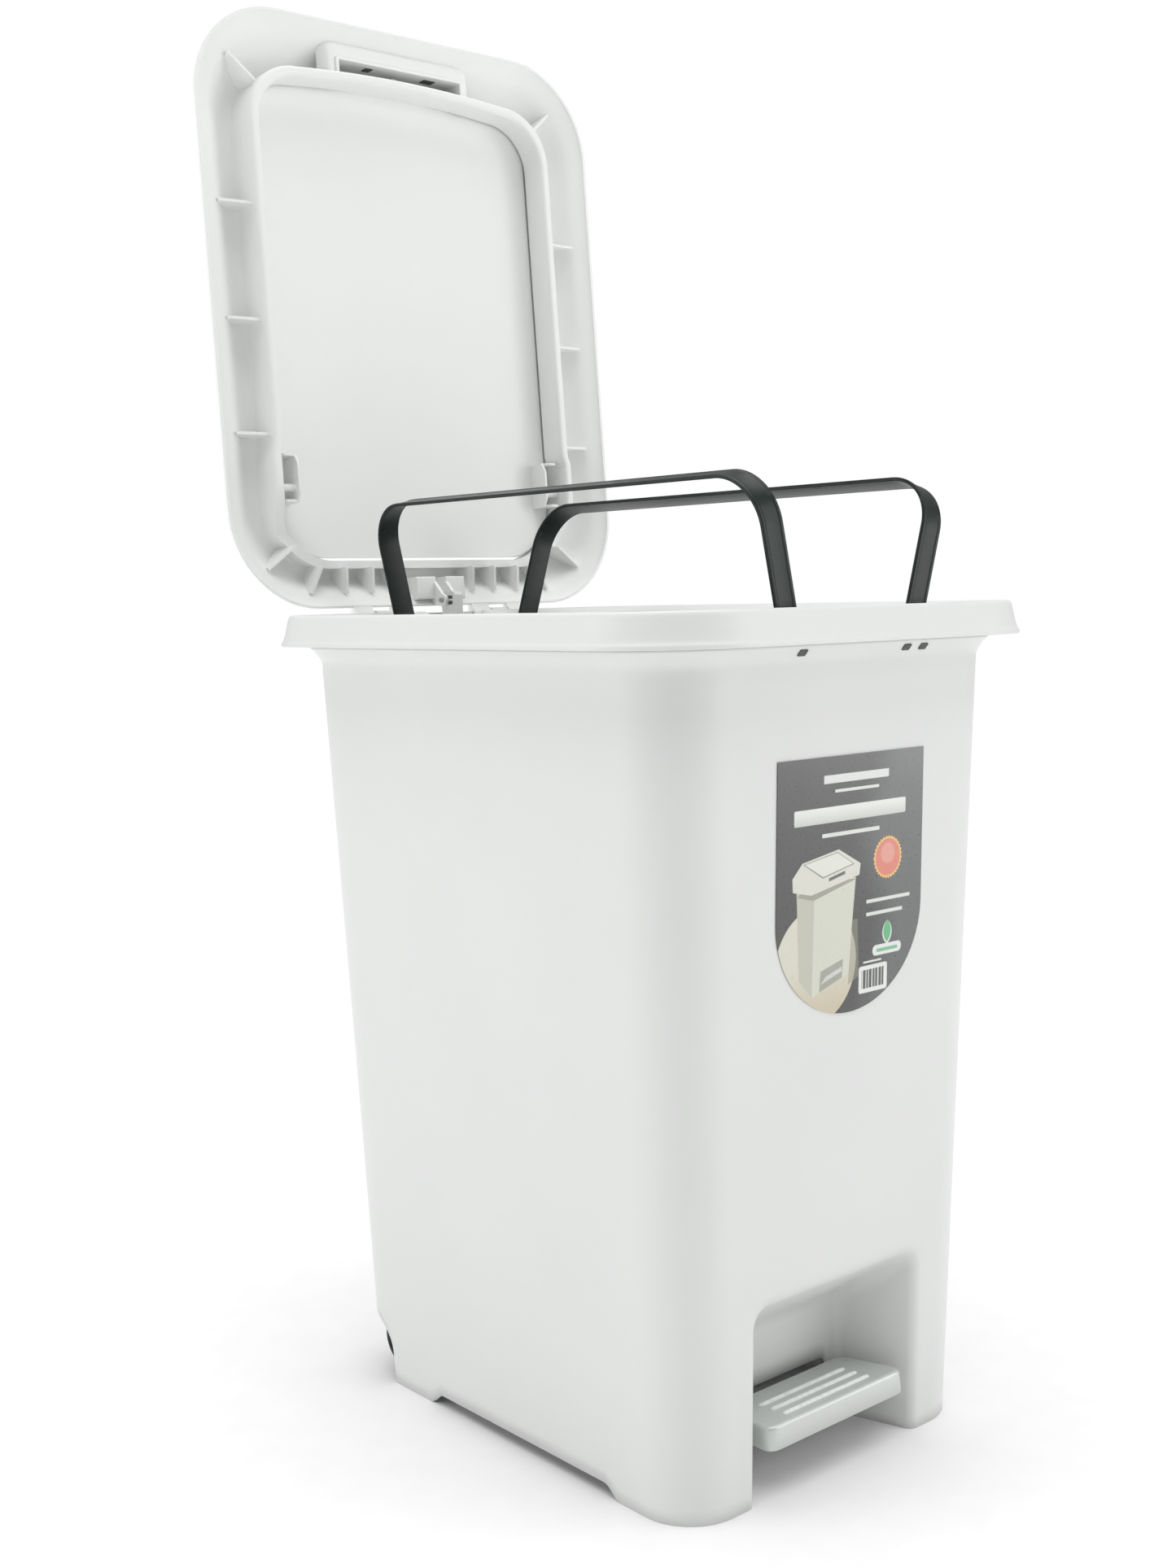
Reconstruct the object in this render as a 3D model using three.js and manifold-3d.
// Pedal bin: a tapered 45 litre plastic body with a foot pocket, a snap-on rim ring, a hinged lid
// with its own latched flap, two folding bag hoops, a pedal that lifts the lid through a push rod
// up the back, and two rear wheels. Millimetres, +Z up, front = -Y, X = 0 is the plane of symmetry.
import * as THREE from "three";
import { mergeVertices } from "three/addons/utils/BufferGeometryUtils.js";
import Module from "manifold-3d";

const wasm = await Module();
wasm.setup();

// ---- driving dimensions ---------------------------------------------------------------------
const GAP = 0.3; // clearance between neighbouring pieces
const CORNER_STEPS = 8;

const BODY = {
  height: 517.8, wall: 2.6, floorTop: 58, floorThick: 2.5,
  baseX: 129.65, baseY: 169.45, baseR: 37, // half sizes and corner radius on the floor
  topX: 150, topY: 185.75, topR: 42, // the same at the top, before the flare
  flareStart: 506, flareOut: 7.5,
};
const SLOPE_Y = (BODY.topY - BODY.baseY) / BODY.height; // lean of the front and back walls

const POCKET = { halfWidth: 74, height: 125, depth: 52, radius: 14, backWidth: 0.8, backHeight: 0.68 };
const ARCH = { height: 8.5, front: -97, back: 71, run: 13 };
const WHEEL_ARCH = { front: 126.5, height: 45, radius: 25, inner: 60 };

const RING = {
  lipX: 176.9, lipY: 213.2, lipR: 70, lipZ: 519, top: 540,
  innerX: 151, innerY: 191, innerR: 36,
  notchHalf: 27,
};

const HINGE = { y: 220.3, z: 536.9, knuckleR: 4.6, rodR: 2, halfSpan: 80 };
const LID = {
  openDeg: 94.09, halfX: 176.9, length: 426.4, radius: 70, restZ: 537, thickness: 30,
  openHalfX: 128, openBack: 35.5, openFront: 380, openFrontR: 36, openBackR: 42, roomBackR: 32, bow: 5,
};
const FLAP = {
  halfX: 129.6, back: 37, front: 386.4, rBack: 45, pivotS: 88, pivotH: 10, sweep: 51, under: 20, top: 30,
};
const LATCH = { half: 54.5, back: 387.6, front: 399, pinS: 390.3, pinH: 7 };

const LINK = { s: 3.3, h: -11.2, r: 2, earIn: 4.2, earOut: 6.8 }; // link pin on the lid
const ROD = { r: 2.5, topZ: 548, pinY: 193.7, pinZ: 33, topY: 209.9 };
const COVER = { half: 16, flange: 24, wall: 2, bottom: 56, top: 504, behind: 8 };

const PIVOT = { y: -40, z: 30, r: 3, hubR: 7, half: 58 }; // pedal axle
const PEDAL = { frontY: -172, topZ: 46.5, tiltDeg: -5, depth: 50, skirt: 15, halfFront: 63.5, halfBack: 57 };

const HOOP = { pivotX: 55.8, pivotZ: 530, legY: 188, reach: 90, bend: 32, band: 17, thick: 2.4,
  tiltLeftDeg: 12.4, tiltRightDeg: 17.2 };

const WHEEL = { r: 20, y: 137, z: 24.5, inner: 101, outer: 117, axleR: 3, axleIn: 66 };
const LABEL = { x: 4.3, top: 451, width: 132, height: 158, radius: 62, thick: 0.4 };

// ---- materials ------------------------------------------------------------------------------
const finish = (color, roughness, metalness = 0) =>
  new THREE.MeshStandardMaterial({ color, roughness, metalness });
const whitePlastic = finish(0xe6e9e5, 0.45);
const darkPlastic = finish(0x2b302e, 0.4);
const silverPlastic = finish(0xaeb3b0, 0.35, 0.3);
const steel = finish(0xb9bcbe, 0.3, 1);
const blackPlastic = finish(0x1f2122, 0.55);
const labelFilm = finish(0x3c3f3e, 0.3);

// ---- solids ---------------------------------------------------------------------------------
// A closed three.js geometry as a manifold-3d solid.
function solid(geometry) {
  const bare = geometry.index ? geometry.toNonIndexed() : geometry.clone();
  bare.deleteAttribute("normal");
  bare.deleteAttribute("uv");
  const merged = mergeVertices(bare, 1e-4);
  return new wasm.Manifold(new wasm.Mesh({
    numProp: 3,
    vertProperties: new Float32Array(merged.attributes.position.array),
    triVerts: new Uint32Array(merged.index.array),
  }));
}

function geometryOf(body) {
  const mesh = body.getMesh();
  const geometry = new THREE.BufferGeometry();
  geometry.setAttribute("position", new THREE.BufferAttribute(new Float32Array(mesh.vertProperties), 3));
  geometry.setIndex(new THREE.BufferAttribute(new Uint32Array(mesh.triVerts), 1));
  geometry.computeVertexNormals();
  return geometry;
}

const union = (...bodies) => bodies.reduce((a, b) => a.add(b));
const cutAll = (body, ...tools) => tools.reduce((a, b) => a.subtract(b), body);

// A box between two corners.
function box(x0, x1, y0, y1, z0, z1) {
  const g = new THREE.BoxGeometry(x1 - x0, y1 - y0, z1 - z0);
  return solid(g.translate((x0 + x1) / 2, (y0 + y1) / 2, (z0 + z1) / 2));
}

// A cylinder along X between x0 and x1.
function rodX(r, x0, x1, y, z, sides = 20) {
  const g = new THREE.CylinderGeometry(r, r, x1 - x0, sides).rotateZ(Math.PI / 2);
  return solid(g.translate((x0 + x1) / 2, y, z));
}

// A cylinder along Y between y0 and y1.
function rodY(r, y0, y1, x, z, sides = 16) {
  const g = new THREE.CylinderGeometry(r, r, y1 - y0, sides);
  return solid(g.translate(x, (y0 + y1) / 2, z));
}

// A cylinder along Z between z0 and z1.
function rodZ(r, z0, z1, x, y, sides = 16) {
  const g = new THREE.CylinderGeometry(r, r, z1 - z0, sides).rotateX(Math.PI / 2);
  return solid(g.translate(x, y, (z0 + z1) / 2));
}

// A flat outline of [a, b] points, extruded through X from x0 to x1, with a along Y and b along Z.
function slabX(points, x0, x1) {
  const shape = new THREE.Shape(points.map(([a, b]) => new THREE.Vector2(a, b)));
  const g = new THREE.ExtrudeGeometry(shape, { depth: x1 - x0, bevelEnabled: false });
  g.applyMatrix4(new THREE.Matrix4().makeBasis(
    new THREE.Vector3(0, 1, 0), new THREE.Vector3(0, 0, 1), new THREE.Vector3(1, 0, 0)));
  return solid(g.translate(x0, 0, 0));
}

// Points round a rectangle with rounded corners, anticlockwise from the right end of the front
// edge. bow pushes the middle of the front edge out towards -Y.
function outline({ halfX, front, back, rFront, rBack = rFront, bow = 0 }) {
  const points = [];
  const corner = (cx, cy, r, from) => {
    for (let i = 0; i <= CORNER_STEPS; i++) {
      const a = from + (Math.PI / 2) * (i / CORNER_STEPS);
      points.push(new THREE.Vector2(cx + r * Math.cos(a), cy + r * Math.sin(a)));
    }
  };
  corner(halfX - rFront, front + rFront, rFront, -Math.PI / 2);
  corner(halfX - rBack, back - rBack, rBack, 0);
  corner(-halfX + rBack, back - rBack, rBack, Math.PI / 2);
  corner(-halfX + rFront, front + rFront, rFront, Math.PI);
  const run = halfX - rFront;
  for (let i = 1; i < 8; i++) {
    const x = -run + (2 * run * i) / 8;
    points.push(new THREE.Vector2(x, front - bow * (1 - (x / run) ** 2)));
  }
  return points;
}

// A closed geometry from rings of equal length; the first and last rings are capped, or joined
// to each other when loop is true.
function skin(rings, loop = false) {
  const count = rings[0].length;
  const position = rings.flat().flatMap((p) => [p.x, p.y, p.z]);
  const index = [];
  const spans = loop ? rings.length : rings.length - 1;
  for (let j = 0; j < spans; j++) {
    const a = j * count;
    const b = ((j + 1) % rings.length) * count;
    for (let i = 0; i < count; i++) {
      const k = (i + 1) % count;
      index.push(a + i, a + k, b + k, a + i, b + k, b + i);
    }
  }
  if (!loop) {
    const flat = rings.map((ring) => ring.map((p) => new THREE.Vector2(p.x, p.y)));
    const last = (rings.length - 1) * count;
    for (const [a, b, c] of THREE.ShapeUtils.triangulateShape(flat[0], [])) index.push(c, b, a);
    for (const [a, b, c] of THREE.ShapeUtils.triangulateShape(flat.at(-1), []))
      index.push(last + a, last + b, last + c);
  }
  const g = new THREE.BufferGeometry();
  g.setAttribute("position", new THREE.Float32BufferAttribute(position, 3));
  g.setIndex(index);
  return solid(g);
}

// Outlines stacked at rising heights: levels of [points, z].
const loft = (levels) => skin(levels.map(([ps, z]) => ps.map((p) => new THREE.Vector3(p.x, p.y, z))));

// A ring whose section is a polygon of [t, z]: t = 0 on the outer outline and 1 on the inner one.
// The section runs clockwise seen with the outside on the left and up on top.
const ring = (outer, inner, section) =>
  skin(section.map(([t, z]) => outer.map((p, i) => {
    const q = p.clone().lerp(inner[i], t);
    return new THREE.Vector3(q.x, q.y, z);
  })), true);

const bodyOutline = (z, grow = 0) => {
  const t = z / BODY.height;
  const halfX = THREE.MathUtils.lerp(BODY.baseX, BODY.topX, t) + grow;
  const halfY = THREE.MathUtils.lerp(BODY.baseY, BODY.topY, t) + grow;
  const rFront = THREE.MathUtils.lerp(BODY.baseR, BODY.topR, t) + grow;
  return outline({ halfX, front: -halfY, back: halfY, rFront });
};
const wallY = (z) => THREE.MathUtils.lerp(BODY.baseY, BODY.topY, z / BODY.height);

// ---- body -----------------------------------------------------------------------------------
// The foot pocket: a round-topped opening in the front wall that narrows and drops towards its back.
function pocketSolid(wall) {
  const { halfWidth, height, depth, radius, backWidth, backHeight } = POCKET;
  const w = halfWidth + wall;
  const h = height + wall;
  const r = radius + wall;
  const shape = new THREE.Shape();
  shape.moveTo(-w, -5);
  shape.lineTo(w, -5);
  shape.lineTo(w, h - r);
  shape.absarc(w - r, h - r, r, 0, Math.PI / 2, false);
  shape.lineTo(-w + r, h);
  shape.absarc(-w + r, h - r, r, Math.PI / 2, Math.PI, false);
  shape.closePath();
  const ahead = 12; // runs this far out in front of the wall
  const whole = ahead + depth + wall;
  const g = new THREE.ExtrudeGeometry(shape, { depth: whole, bevelEnabled: false, curveSegments: 6 });
  g.rotateX(Math.PI / 2).scale(1, -1, 1); // extrusion now runs back along +Y, height along +Z
  const p = g.attributes.position;
  for (let i = 0; i < p.count; i++) {
    const t = (p.getY(i) - ahead) / depth;
    p.setX(i, p.getX(i) * THREE.MathUtils.lerp(1, backWidth, t));
    if (p.getZ(i) > 0) p.setZ(i, p.getZ(i) * THREE.MathUtils.lerp(1, backHeight, t));
  }
  // the mirror above turned the faces round, so every triangle is turned back
  for (let i = 0; i < p.count; i += 3) {
    const [ax, ay, az] = [p.getX(i), p.getY(i), p.getZ(i)];
    p.setXYZ(i, p.getX(i + 1), p.getY(i + 1), p.getZ(i + 1));
    p.setXYZ(i + 1, ax, ay, az);
  }
  return solid(g.translate(0, -BODY.baseY - ahead - 1.5, 0));
}

function binBody() {
  const { height, wall, floorTop, floorThick, flareStart, flareOut } = BODY;
  const shell = loft([
    [bodyOutline(0, -1), 0], [bodyOutline(1, -0.2), 1], [bodyOutline(2.5), 2.5],
    [bodyOutline(flareStart), flareStart], [bodyOutline(512, 1.5), 512],
    [bodyOutline(515.5, 4), 515.5], [bodyOutline(height, flareOut), height],
  ]);
  const pocketOuter = pocketSolid(wall);
  const bowl = loft([
    [bodyOutline(floorTop, -wall - 6), floorTop], [bodyOutline(floorTop + 3, -wall - 1.5), floorTop + 3],
    [bodyOutline(floorTop + 9, -wall), floorTop + 9], [bodyOutline(height + 1, -wall), height + 1],
  ]).subtract(pocketOuter);
  const under = loft([
    [bodyOutline(-1, -wall), -1], [bodyOutline(floorTop - floorThick, -wall), floorTop - floorThick],
  ]).subtract(pocketOuter);
  const a = ARCH;
  const archEnds = [[a.front - a.run, -1], [a.back + a.run, -1], [a.back, a.height], [a.front, a.height]];
  const sideArch = slabX(archEnds, -200, 200);
  const backArch = box(-84, 84, 150, 200, -1, a.height);
  const leverSlot = box(-46, 46, -125, -108, -1, 43.5);
  const tailSlot = box(-15, 15, 160, 180, -1, 50);
  const w = WHEEL_ARCH;
  const archShape = [[w.front, -1], [200, -1], [200, w.height]];
  for (let i = 0; i <= 6; i++) {
    const ang = Math.PI / 2 + (Math.PI / 2) * (i / 6);
    const ahead = w.front + w.radius + w.radius * Math.cos(ang);
    archShape.push([ahead, w.height - w.radius + w.radius * Math.sin(ang)]);
  }
  const wheelArches = [-1, 1].map((side) => slabX(archShape, side < 0 ? -140 : 95, side < 0 ? -95 : 140));
  const windows = [-45.6, 47.7, 63.4].map((x) => box(x - 3.4, x + 3.4, -200, -175, 510.5, 516));
  const ribTop = floorTop - 1;
  const ribs = [];
  for (const side of [-1, 1]) {
    for (const x of [70, 91]) {
      const plate = box(side * x - 1.5, side * x + 1.5, 130, 164, 12, ribTop);
      ribs.push(plate.subtract(rodX(WHEEL.axleR + GAP, side * x - 3, side * x + 3, WHEEL.y, WHEEL.z)));
    }
    const boss = box(side * 64 - 4, side * 64 + 4, PIVOT.y - 16, PIVOT.y + 16, 27, ribTop);
    ribs.push(cutAll(boss,
      rodX(PIVOT.r + GAP, side * 64 - 6, side * 64 + 6, PIVOT.y, PIVOT.z),
      box(side * 64 - 6, side * 64 + 6, PIVOT.y - PIVOT.r - GAP, PIVOT.y + PIVOT.r + GAP, 20, PIVOT.z),
      ...[-12, 12].map((dy) => rodZ(1.7, 20, 42, side * 64, PIVOT.y + dy, 12))));
  }
  const coverHoles = coverScrewPlaces().map(([x, z]) => rodY(1.7, wallY(z) - 12, wallY(z) + 4, x, z, 12));
  const body = cutAll(shell, bowl, under, pocketSolid(0), sideArch, backArch, leverSlot, tailSlot,
    ...wheelArches, ...windows, ...coverHoles);
  return union(body, ...ribs);
}

const coverScrewPlaces = () => [-1, 1].flatMap((side) => [90, 470].map((z) => [side * 20, z]));

function frontLabel() {
  const { x, top, width, height, radius, thick } = LABEL;
  const shape = new THREE.Shape();
  shape.moveTo(-width / 2, 0);
  shape.lineTo(-width / 2, radius - height);
  shape.absarc(radius - width / 2, radius - height, radius, Math.PI, 1.5 * Math.PI, false);
  shape.absarc(width / 2 - radius, radius - height, radius, 1.5 * Math.PI, 2 * Math.PI, false);
  shape.lineTo(width / 2, 0);
  shape.closePath();
  const g = new THREE.ExtrudeGeometry(shape, { depth: thick, bevelEnabled: false, curveSegments: 8 });
  g.rotateX(Math.PI / 2 + Math.atan(SLOPE_Y));
  return mesh("front_label", solid(g.translate(x, -wallY(top) - GAP, top)), labelFilm);
}

// ---- rim ring -------------------------------------------------------------------------------
function rimRing() {
  const lip = outline({ halfX: RING.lipX, front: -RING.lipY, back: RING.lipY, rFront: RING.lipR });
  const inner = outline({ halfX: RING.innerX, front: -RING.innerY, back: RING.innerY, rFront: RING.innerR });
  const z = RING.lipZ;
  const top = RING.top;
  const channel = ring(lip, inner, [
    [0, z], [0, z + 2], [0.2, z + 14], [0.27, top - 1.5], [0.33, top], [0.45, top], [0.93, top - 3.5],
    [1, top - 5], [1, z], [0.9, z], [0.9, top - 6], [0.45, top - 2.6], [0.36, top - 2.6],
    [0.28, z + 13], [0.1, z + 2.6], [0.1, z],
  ]);
  const ledge = ring(outline({ halfX: 152, front: -192, back: 192, rFront: 37 }),
    outline({ halfX: 144.2, front: -180, back: 180, rFront: 37 }),
    [[0, z - 0.6], [0, z + 1.8], [1, z + 1.8], [1, z - 0.6]]);
  const tongue = ring(bodyOutline(500, -BODY.wall - GAP), bodyOutline(500, -BODY.wall - 2.5),
    [[0, z - 20], [0, z + 0.5], [1, z + 0.5], [1, z - 20]]);
  const half = RING.notchHalf;
  const notch = box(-half, half, 194.5, 260, z - 2, top + 5);
  const notchTop = box(-half, half, 180, 200, top - 8, top + 5);
  const hoopHoles = [-1, 1].flatMap((sx) => [-1, 1].map((sy) =>
    rodY(3.3, sy < 0 ? -196 : 186, sy < 0 ? -186 : 196, sx * HOOP.pivotX, HOOP.pivotZ)));
  const knuckles = [-1, 1].map((side) => union(
    rodX(HINGE.knuckleR, side * 53.5 - 7.5, side * 53.5 + 7.5, HINGE.y, HINGE.z),
    slabX([[206, z + 1], [HINGE.y, z + 4], [HINGE.y + HINGE.knuckleR, HINGE.z - 5],
      [HINGE.y + HINGE.knuckleR, HINGE.z], [HINGE.y - 4, HINGE.z], [HINGE.y - 9, HINGE.z - 3],
      [206, HINGE.z - 4]], side * 53.5 - 7.5, side * 53.5 + 7.5)));
  const bore = rodX(HINGE.rodR + GAP, -90, 90, HINGE.y, HINGE.z);
  const channelled = cutAll(union(channel, ledge, tongue), notch, notchTop);
  return cutAll(union(channelled, ...knuckles), bore, ...hoopHoles);
}

// ---- lid: modelled closed, in [x, -s, h], s from its back edge and h up from its lower edge --------
const lidOutline = () => outline({ halfX: LID.halfX, front: -LID.length, back: 0, rFront: LID.radius });
const lidOpening = (grow = 0) => outline({
  halfX: LID.openHalfX + grow, front: -LID.openFront - grow, back: -LID.openBack + grow,
  rFront: LID.openFrontR + grow, rBack: LID.openBackR + grow, bow: LID.bow,
});
const flapOutline = (grow = 0, rBack = FLAP.rBack) => outline({
  halfX: FLAP.halfX + grow, front: -FLAP.front - grow, back: -FLAP.back + grow,
  rFront: 33 + grow, rBack: rBack + grow,
});

// A stiffening rib across the lid's channel, between a point of the lid's edge and one of the opening.
function lidRib(outerPoint, innerPoint) {
  const across = innerPoint.clone().sub(outerPoint);
  const width = across.length();
  const section = [[0.31, 5], [0.9, 2], [0.9, 26], [0.7, 26.3], [0.55, 22], [0.43, 16.5], [0.33, 10.5]];
  const shape = new THREE.Shape(section.map(([t, h]) => new THREE.Vector2(t * width, h)));
  const g = new THREE.ExtrudeGeometry(shape, { depth: 2, bevelEnabled: false }).translate(0, 0, -1);
  const along = new THREE.Vector3(across.x / width, across.y / width, 0);
  const up = new THREE.Vector3(0, 0, 1);
  g.applyMatrix4(new THREE.Matrix4().makeBasis(along, up, along.clone().cross(up)));
  return solid(g.translate(outerPoint.x, outerPoint.y, 0));
}

function lidFrame() {
  const opening = lidOpening();
  const edge = lidOutline();
  const dome = ring(edge, opening, [
    [0, 0], [0, 2.8], [0.06, 4.6], [0.18, 7.6], [0.31, 12], [0.41, 18], [0.53, 23.5], [0.69, 27.5],
    [0.945, LID.thickness], [0.945, 18.5], [1, 18.5], [1, -1.5], [0.97, -3], [0.87, -3], [0.84, -1.5],
    [0.85, 25.2], [0.7, 24.8], [0.56, 21], [0.45, 16], [0.35, 10], [0.27, 6.6], [0.12, 2.9],
    [0.05, 0.6], [0.05, 0],
  ]);
  const ribs = [];
  for (const side of [-1, 1]) {
    for (const s of [125, 205.5, 287])
      ribs.push(lidRib(new THREE.Vector2(side * LID.halfX, -s), new THREE.Vector2(side * LID.openHalfX, -s)));
    for (const x of [46, 72])
      ribs.push(lidRib(new THREE.Vector2(side * x, 0), new THREE.Vector2(side * x, -LID.openBack)));
  }
  const mid = CORNER_STEPS / 2;
  for (let corner = 0; corner < 4; corner++) {
    const i = corner * (CORNER_STEPS + 1) + mid;
    ribs.push(lidRib(edge[i], opening[i]));
  }
  // top skin that reaches over the flap's swinging rear edge
  const rearLip = box(-110, 110, -39.3, -33, 27.4, LID.thickness);
  // room for the flap: full width behind its pivots, a seat ledge in front of them
  const roomOutline = flapOutline(1.2, LID.roomBackR);
  const flapRoom = loft([[roomOutline, -6], [roomOutline, 27]]).intersect(box(-200, 200, -116, 0, -10, 40))
    .subtract(box(-200, 200, -39.6, -20, 27, 40));
  const flapSeat = loft([[flapOutline(1.2), 18.8], [flapOutline(1.2), 40]])
    .subtract(box(-200, 200, -39.3, -20, 20, 60));
  const pivotHoles = rodX(3.2, -140, 140, -FLAP.pivotS, FLAP.pivotH);
  // the opening's rim is shallow at the back, where the bag hoops' corners fold past it
  const relief = slabX([[-24, -6], [-24, 11], [-54, 11], [-64, 8.5], [-74, 4], [-83, -1.5], [-86, -6]],
    -140, 140);
  // latch pocket at the front
  const l = LATCH;
  const boss = box(-l.half - 3, l.half + 3, -l.front - 3, -l.back + 1.4, 2.6, 28.2);
  const cup = box(-l.half, l.half, -l.front, -l.back, -5, 25.5);
  const slot = box(-50, 50, -l.front + 0.5, -l.back + 0.3, 20, 40);
  const latchPinHoles = rodX(2.3, -l.half - 2, l.half + 2, -l.pinS, l.pinH, 16);
  const bossMass = boss.subtract(flapSeat);
  // blocks and ears that meet the push rod, and the hinge knuckles behind the edge
  const blocks = [-1, 1].map((side) => box(side * 13.5 - 8.5, side * 13.5 + 8.5, -22, -5, -2, 20));
  const ears = [-1, 1].map((side) => {
    const x = side * (LINK.earIn + LINK.earOut) / 2;
    const t = (LINK.earOut - LINK.earIn) / 2;
    const web = [[-LINK.s - 4.6, LINK.h], [-LINK.s + 4.6, LINK.h], [-1, 3], [-19, 14], [-19, -1]];
    return union(slabX(web, x - t, x + t),
      rodX(4.6, x - t, x + t, -LINK.s, LINK.h));
  });
  const axisY = HINGE.y - RING.lipY;
  const axisH = HINGE.z - LID.restZ;
  const knuckles = [-1, 1].flatMap((side) => [37, 71.2].map((x) => union(
    rodX(HINGE.knuckleR, side * x - 8, side * x + 8, axisY, axisH),
    box(side * x - 8, side * x + 8, -1.5, axisY, 0, axisH + HINGE.knuckleR))));
  const bore = rodX(HINGE.rodR + GAP, -90, 90, axisY, axisH);
  const linkBore = rodX(LINK.r + GAP, -9, 9, -LINK.s, LINK.h, 16);
  const cap = cutAll(union(dome, rearLip, ...ribs), flapRoom, flapSeat, relief);
  const shape = union(cap, bossMass, ...blocks, ...ears, ...knuckles);
  return cutAll(shape, cup, slot, pivotHoles, latchPinHoles, bore, linkBore);
}

// Keeps the part of a flap solid that clears the lid when its rear edge swings down.
function trimRear(body) {
  const sweep = rodX(FLAP.sweep, -150, 150, -FLAP.pivotS, FLAP.pivotH, 96);
  return body.subtract(box(-150, 150, -FLAP.pivotS + 20, 10, -20, 60).subtract(sweep));
}

function lidFlap() {
  const { under, top } = FLAP;
  const shell = loft([[flapOutline(), under + 2.6], [flapOutline(), top - 1], [flapOutline(-1.2), top]]);
  const hollow = loft([[flapOutline(-2.4), under], [flapOutline(-2.4), top - 2.4]]);
  return trimRear(shell.subtract(hollow));
}

function flapPanel() {
  const { under, pivotS, pivotH } = FLAP;
  const plate = loft([[flapOutline(-1.4), under], [flapOutline(-1.4), under + 2.2]]);
  const ears = [-1, 1].map((side) => union(
    box(side * 120.5 - 6.5, side * 120.5 + 6.5, -112, -77, 3, under + 0.5),
    rodX(2.8, side > 0 ? 126 : -134.5, side > 0 ? 134.5 : -126, -pivotS, pivotH)));
  return union(trimRear(plate), ...ears);
}

function latchRocker() {
  const { back, pinS, pinH, half } = LATCH;
  const blade = cutAll(box(-52, 52, -pinS - 1.2, -pinS + 1.2, 2, 25),
    box(-26, -10, -400, -380, 1, 5), box(14, 34, -400, -380, 1, 5));
  const button = box(-48.5, 48.5, -pinS - 6, -pinS + 1.2, 24, 30.6);
  const pins = rodX(2, -half - 1.6, half + 1.6, -pinS, pinH, 16);
  const nose = box(-9, 9, -pinS - 1, -back - 0.4, 24.8, 26.6);
  return union(blade, button, pins, nose);
}

// A coil spring of round wire along Y.
function coil(radius, wire, from, to, turns, x, z) {
  const points = [];
  const steps = turns * 12;
  for (let i = 0; i <= steps; i++) {
    const a = (2 * Math.PI * i) / 12;
    const y = from + ((to - from) * i) / steps;
    points.push(new THREE.Vector3(x + radius * Math.cos(a), y, z + radius * Math.sin(a)));
  }
  const section = new THREE.Shape(Array.from({ length: 6 }, (_, i) =>
    new THREE.Vector2(wire * Math.cos((Math.PI * i) / 3), wire * Math.sin((Math.PI * i) / 3))));
  return solid(new THREE.ExtrudeGeometry(section, {
    steps, bevelEnabled: false, extrudePath: new THREE.CatmullRomCurve3(points),
  }));
}

// ---- push rod, lever and pedal --------------------------------------------------------------
const rodLean = Math.atan((ROD.topY - ROD.pinY) / (ROD.topZ - ROD.pinZ));
const rodY0 = (z) => ROD.topY - (ROD.topZ - z) * Math.tan(rodLean);

// A cylinder along the push rod's own line between two heights.
function alongRod(r, z0, z1, sides = 16) {
  const length = (z1 - z0) / Math.cos(rodLean);
  const g = new THREE.CylinderGeometry(r, r, length, sides).rotateX(Math.PI / 2 - rodLean);
  return solid(g.translate(0, (rodY0(z0) + rodY0(z1)) / 2, (z0 + z1) / 2));
}

function rodHead() {
  const { topY, topZ } = ROD;
  const cheek = slabX([[topY - 11.5, topZ - 9], [topY - 3, topZ - 13], [topY + 3.6, topZ - 13],
    [topY + 5.2, topZ - 6], [topY + 5.2, topZ + 5], [topY + 3.6, topZ + 6.5], [topY - 9.5, topZ + 6.5],
    [topY - 11.5, topZ + 4]], -3.6, 3.6);
  const slot = slabX([[topY - 8.5, topZ - 3.4], [topY + 3, topZ - 3.4], [topY + 3, topZ + 3.4],
    [topY - 8.5, topZ + 3.4]], -5, 5);
  return cutAll(cheek, slot, alongRod(ROD.r + GAP, topZ - 20, topZ - 6));
}

function rodFoot() {
  const { pinY, pinZ } = ROD;
  const eye = union(rodX(6, -3.6, 3.6, pinY, pinZ), box(-3.6, 3.6, pinY - 4.5, pinY + 4.5, pinZ, pinZ + 14));
  return cutAll(eye, rodX(3.2, -5, 5, pinY, pinZ), alongRod(ROD.r + GAP, pinZ + 7, pinZ + 20));
}

function rodGuide(z) {
  const y = rodY0(z);
  const wallFace = wallY(z + 6) + GAP;
  return cutAll(box(-9, 9, wallFace, y + 5.2, z - 6, z + 6), alongRod(ROD.r + GAP + 0.1, z - 10, z + 10),
    box(-4, 4, wallFace + 3, y - 6, z - 10, z + 10));
}

function rodCover() {
  const { half, flange, wall, bottom, top, behind } = COVER;
  const column = (x, from, to) => loft([bottom, top].map((z) => [[
    new THREE.Vector2(-x, from(z)), new THREE.Vector2(x, from(z)),
    new THREE.Vector2(x, to(z)), new THREE.Vector2(-x, to(z))], z]));
  const face = (z) => wallY(z) + GAP;
  const outer = column(half, face, (z) => rodY0(z) + behind);
  const inner = column(half - wall, (z) => wallY(z) - 5, (z) => rodY0(z) + behind - wall);
  const wings = column(flange, face, (z) => face(z) + wall);
  const cap = box(-half + 0.5, half - 0.5, wallY(top) + 1, rodY0(top) + behind - 1, top - wall, top);
  const holes = coverScrewPlaces().map(([x, z]) => rodY(1.7, wallY(z) - 3, wallY(z) + 6, x, z, 12));
  const shell = cutAll(union(outer, wings), inner);
  return cutAll(union(shell, cap), alongRod(ROD.r + 1.5, top - 10, top + 10), ...holes);
}

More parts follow.
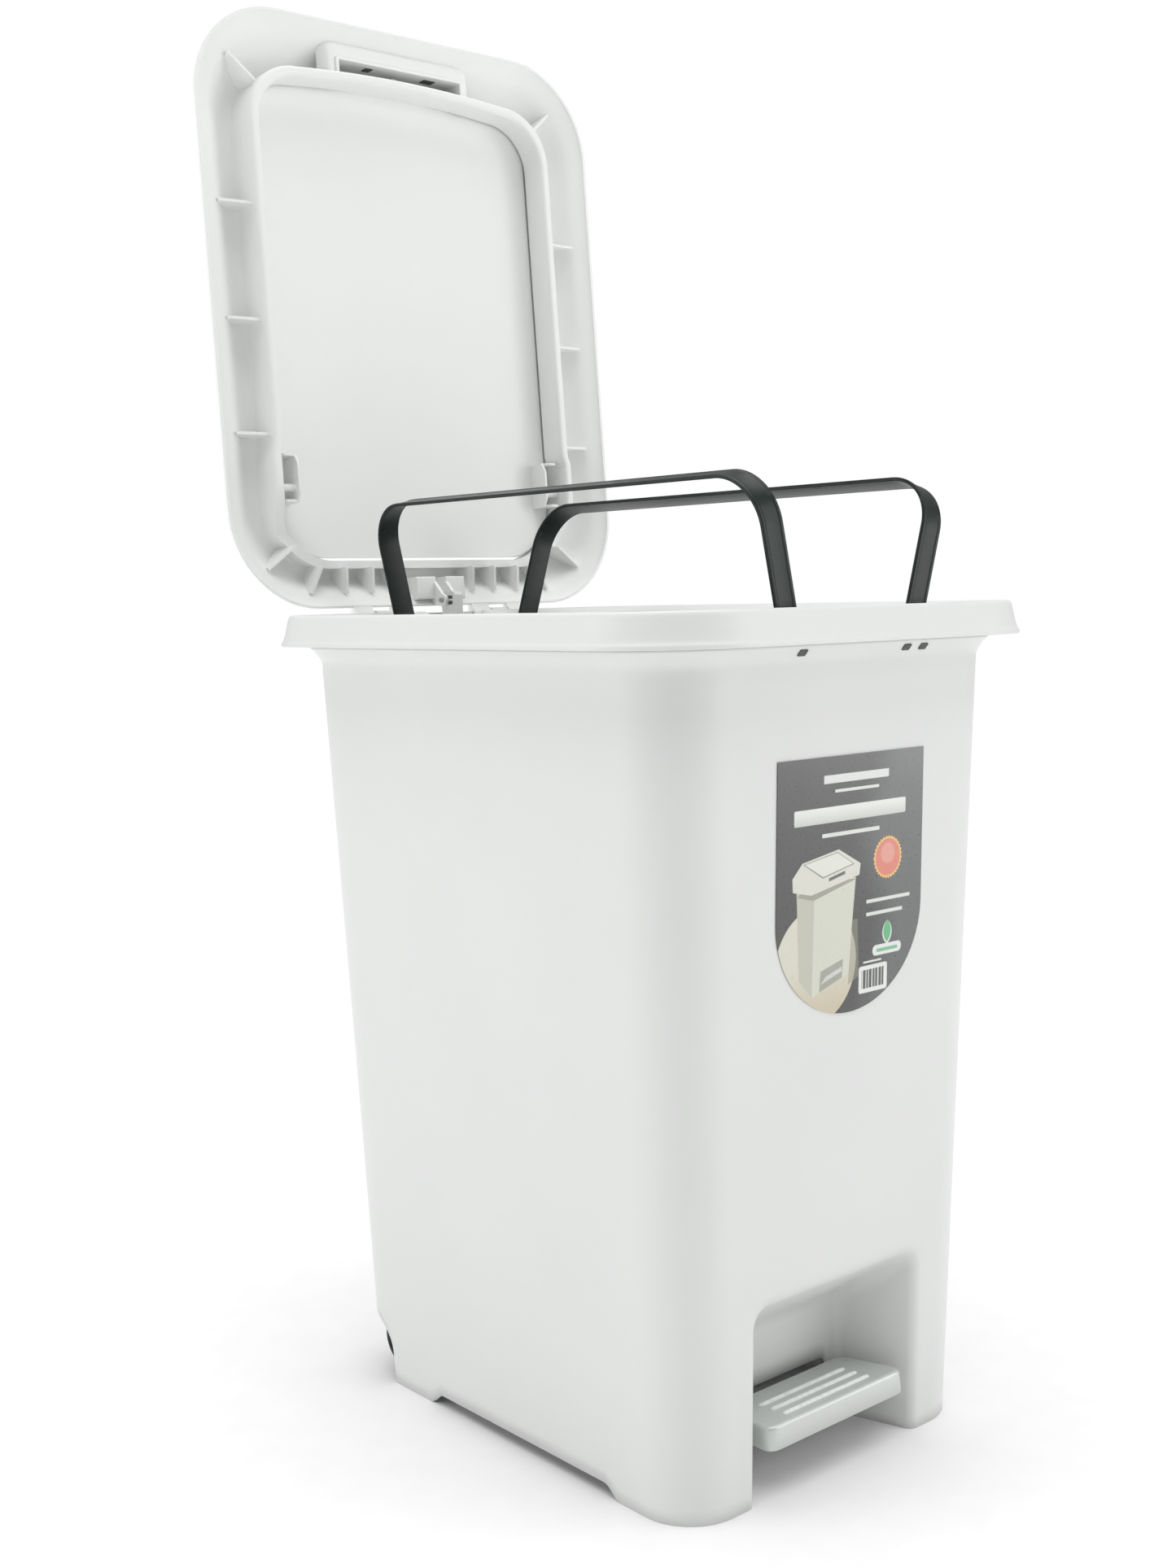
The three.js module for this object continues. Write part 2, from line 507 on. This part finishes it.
// A pan-head screw pointing along +Z with its head's underside at the origin.
function screw(length, r = 1.4, headR = 3) {
  const head = [[0, -2.2], [headR * 0.7, -2.2], [headR, -1.2], [headR, 0]];
  const profile = [...head, [r, 0], [r, length - 2], [0, length]].map(([x, y]) => new THREE.Vector2(x, y));
  const g = new THREE.LatheGeometry(profile, 14).rotateX(Math.PI / 2);
  const cross = union(box(-1.8, 1.8, -0.35, 0.35, -3, -1.4), box(-0.35, 0.35, -1.8, 1.8, -3, -1.4));
  return solid(g).subtract(cross);
}

function pedalPlate(halfFront, halfBack, y0, y1, z0, z1, r) {
  const corners = [[-halfFront, y0], [halfFront, y0], [halfBack, y1], [-halfBack, y1]];
  const shape = new THREE.Shape();
  corners.forEach(([x, y], i) => {
    const here = new THREE.Vector2(x, y);
    const before = new THREE.Vector2(...corners[(i + 3) % 4]).sub(here).setLength(r).add(here);
    const after = new THREE.Vector2(...corners[(i + 1) % 4]).sub(here).setLength(r).add(here);
    if (i) shape.lineTo(before.x, before.y);
    else shape.moveTo(before.x, before.y);
    shape.quadraticCurveTo(here.x, here.y, after.x, after.y);
  });
  shape.closePath();
  const g = new THREE.ExtrudeGeometry(shape, { depth: z1 - z0, bevelEnabled: false, curveSegments: 5 });
  return solid(g.translate(0, 0, z0));
}

// The pedal's own coordinates: y back from its front edge and z up from its top face.
function pedalCap() {
  const { halfFront, halfBack, depth, skirt } = PEDAL;
  const shell = pedalPlate(halfFront, halfBack, 0, depth, -skirt, 0, 9);
  const hollow = pedalPlate(halfFront - 2, halfBack - 2, 2, depth - 2, -skirt - 1, -2, 8);
  const backGap = box(-44, 44, depth - 4, depth + 4, -skirt - 1, -6.5);
  const grips = [10.5, 20.8, 31].map((y) => box(-40, 40, y - 1.2, y + 1.2, -0.5, 0.9));
  return cutAll(union(shell, ...grips), hollow, backGap);
}

function pedalLever() {
  const { halfFront, halfBack, depth } = PEDAL;
  const tilt = THREE.MathUtils.degToRad(PEDAL.tiltDeg);
  const paddle = pedalPlate(halfFront - 3, halfBack - 3, 3, depth - 3, -13, -2.5, 7);
  const pan = pedalPlate(halfFront - 6, halfBack - 6, 6, depth - 6, -14, -5.5, 6);
  const plate = solid(geometryOf(cutAll(paddle, pan)).rotateX(tilt).translate(0, PEDAL.frontY, PEDAL.topZ));
  const neckFront = PEDAL.frontY + depth - 10;
  const neck = box(-41, 41, neckFront, -92, 24.5, 33.5);
  const rails = [-1, 1].map((side) => box(side * 36 - 4, side * 36 + 4, -94, PIVOT.y, 23, 36));
  const hub = rodX(PIVOT.hubR, -PIVOT.half, PIVOT.half, PIVOT.y, PIVOT.z, 24);
  const tailEnd = ROD.pinY + 6.5;
  const tail = slabX([[PIVOT.y, 24], [150, 28], [tailEnd, 28.5], [tailEnd, 37.5], [150, 38], [PIVOT.y, 36]],
    -8.2, 8.2);
  const fork = box(-4, 4, ROD.pinY - 9, ROD.pinY + 12, 20, 45);
  const lever = cutAll(union(plate, neck, ...rails, hub, tail), fork,
    rodX(PIVOT.r + GAP, -70, 70, PIVOT.y, PIVOT.z), rodX(2.2, -12, 12, ROD.pinY, ROD.pinZ, 16));
  return lever;
}

function axleKeeper(side) {
  const x = side * 64;
  const bar = box(x - 4, x + 4, PIVOT.y - 16, PIVOT.y + 16, 20, 26.6);
  return cutAll(bar, ...[-12, 12].map((dy) => rodZ(1.7, 15, 30, x, PIVOT.y + dy, 12)));
}

// ---- bag hoops ------------------------------------------------------------------------------
// One hoop upright in its own frame: legs up +Z from the pivot line along Y, band width along X.
function bagHoop() {
  const { legY, reach, bend, band, thick } = HOOP;
  const half = thick / 2;
  const shape = new THREE.Shape();
  const out = legY + half;
  const inn = legY - half;
  shape.moveTo(-out, 0);
  shape.lineTo(-inn, 0);
  shape.lineTo(-inn, reach - bend);
  shape.absarc(-inn + bend - half, reach - bend, bend - half, Math.PI, Math.PI / 2, true);
  shape.lineTo(inn - bend + half, reach - half);
  shape.absarc(inn - bend + half, reach - bend, bend - half, Math.PI / 2, 0, true);
  shape.lineTo(inn, 0);
  shape.lineTo(out, 0);
  shape.lineTo(out, reach - bend);
  shape.absarc(out - bend - half, reach - bend, bend + half, 0, Math.PI / 2, false);
  shape.lineTo(-out + bend + half, reach + half);
  shape.absarc(-out + bend + half, reach - bend, bend + half, Math.PI / 2, Math.PI, false);
  shape.closePath();
  const g = new THREE.ExtrudeGeometry(shape, { depth: band, bevelEnabled: false, curveSegments: 10 });
  g.applyMatrix4(new THREE.Matrix4().makeBasis(
    new THREE.Vector3(0, 1, 0), new THREE.Vector3(0, 0, 1), new THREE.Vector3(1, 0, 0)));
  const ends = [-1, 1].flatMap((side) => [
    rodY(band / 2, side < 0 ? -out : inn, side < 0 ? -inn : out, 0, 0, 24),
    rodY(3, side < 0 ? -out - 3.6 : inn, side < 0 ? -inn : out + 3.6, 0, 0)]);
  return union(solid(g.translate(-band / 2, 0, 0)), ...ends);
}

// ---- wheels ---------------------------------------------------------------------------------
function wheelParts(side, word) {
  const { r, y, z, inner, outer, axleR, axleIn } = WHEEL;
  const half = (outer - inner) / 2;
  const bore = axleR + GAP;
  const profile = [[bore, -half], [8, -half], [8, -half + 2.5], [r - 4.5, -half + 2.5], [r - 3.5, -half],
    [r - 1.5, -half], [r, -half + 2], [r, half - 2], [r - 1.5, half], [r - 3.5, half], [r - 4.5, half - 2.5],
    [8, half - 2.5], [8, half], [bore, half], [bore, -half]];
  const tyre = new THREE.LatheGeometry(profile.map(([a, b]) => new THREE.Vector2(a, b)), 32)
    .rotateZ(-Math.PI / 2).translate(side * (inner + half), y, z);
  const span = (a, b) => (side > 0 ? [a, b] : [-b, -a]);
  const cap = cutAll(rodX(6.5, ...span(outer + GAP, outer + 4.5), y, z, 20),
    rodX(axleR + GAP, ...span(outer, outer + 3), y, z));
  return [
    mesh("wheel_" + word, solid(tyre), blackPlastic),
    mesh("wheel_axle_" + word, rodX(axleR, ...span(axleIn, outer + 2.7), y, z), steel),
    mesh("wheel_cap_" + word, cap, steel),
  ];
}

// ---- assembly -------------------------------------------------------------------------------
function mesh(name, body, material) {
  const made = new THREE.Mesh(geometryOf(body), material);
  made.name = name;
  return made;
}

function place(object, x, y, z, rx = 0, ry = 0) {
  object.position.set(x, y, z);
  object.rotation.set(rx, ry, 0);
  return object;
}

const rad = THREE.MathUtils.degToRad;
const bin = new THREE.Group();

bin.add(mesh("bin_body", binBody(), whitePlastic));
bin.add(frontLabel());
bin.add(mesh("rim_ring", rimRing(), whitePlastic));
const hingeRod = rodX(HINGE.rodR, -HINGE.halfSpan - 0.5, HINGE.halfSpan + 0.5, HINGE.y, HINGE.z);
bin.add(mesh("lid_hinge_rod", hingeRod, steel));

// the lid assembly swings about the hinge; its pieces are drawn closed and opened here
const lidSwing = place(new THREE.Group(), 0, HINGE.y, HINGE.z, -rad(LID.openDeg));
const lid = place(new THREE.Group(), 0, RING.lipY - HINGE.y, LID.restZ - HINGE.z);
lidSwing.add(lid);
bin.add(lidSwing);
lid.add(mesh("lid_frame", lidFrame(), whitePlastic));
lid.add(mesh("lid_flap", lidFlap(), whitePlastic));
lid.add(mesh("flap_panel", flapPanel(), whitePlastic));
lid.add(mesh("latch_rocker", latchRocker(), silverPlastic));
lid.add(mesh("latch_spring", coil(2.6, 0.45, -LATCH.front + 0.8, -LATCH.pinS - 2.5, 4, 0, 14), steel));
lid.add(mesh("link_pin", rodX(LINK.r, -8.6, 8.6, -LINK.s, LINK.h, 16), steel));

bin.add(mesh("push_rod", alongRod(ROD.r, ROD.pinZ + 8, ROD.topZ - 7), steel));
bin.add(mesh("rod_head", rodHead(), whitePlastic));
bin.add(mesh("rod_foot", rodFoot(), darkPlastic));
bin.add(mesh("rod_guide_lower", rodGuide(130), whitePlastic));
bin.add(mesh("rod_guide_upper", rodGuide(440), whitePlastic));
bin.add(mesh("rod_cover", rodCover(), whitePlastic));
coverScrewPlaces().forEach(([x, z], i) => {
  const y = wallY(z) + GAP + COVER.wall + GAP;
  bin.add(place(mesh("cover_screw_" + (i + 1), screw(9), steel), x, y, z, Math.PI / 2));
});

const pedal = place(new THREE.Group(), 0, PEDAL.frontY, PEDAL.topZ, rad(PEDAL.tiltDeg));
pedal.add(mesh("pedal_cap", pedalCap(), silverPlastic));
bin.add(pedal);
bin.add(mesh("pedal_lever", pedalLever(), whitePlastic));
bin.add(mesh("pedal_axle", rodX(PIVOT.r, -68.5, 68.5, PIVOT.y, PIVOT.z), steel));
bin.add(mesh("lever_pin", rodX(1.9, -9, 9, ROD.pinY, ROD.pinZ, 16), steel));
let screwNumber = 1;
for (const [side, word] of [[-1, "left"], [1, "right"]]) {
  bin.add(mesh("axle_keeper_" + word, axleKeeper(side), whitePlastic));
  for (const dy of [-12, 12]) {
    const made = mesh("keeper_screw_" + screwNumber++, screw(19), steel);
    bin.add(place(made, side * 64, PIVOT.y + dy, 20 - GAP));
  }
}

for (const [side, word, lean] of [[-1, "left", HOOP.tiltLeftDeg], [1, "right", HOOP.tiltRightDeg]]) {
  const hoop = mesh("bag_hoop_" + word, bagHoop(), darkPlastic);
  bin.add(place(hoop, side * HOOP.pivotX, 0, HOOP.pivotZ, 0, side * rad(lean)));
}
bin.add(...wheelParts(-1, "left"), ...wheelParts(1, "right"));

// the origin is under the middle of the whole object's box, with the lid standing open
const assembly = new THREE.Group();
assembly.add(bin);
const extent = new THREE.Box3().setFromObject(bin, true);
bin.position.y = -(extent.min.y + extent.max.y) / 2;

export default assembly;
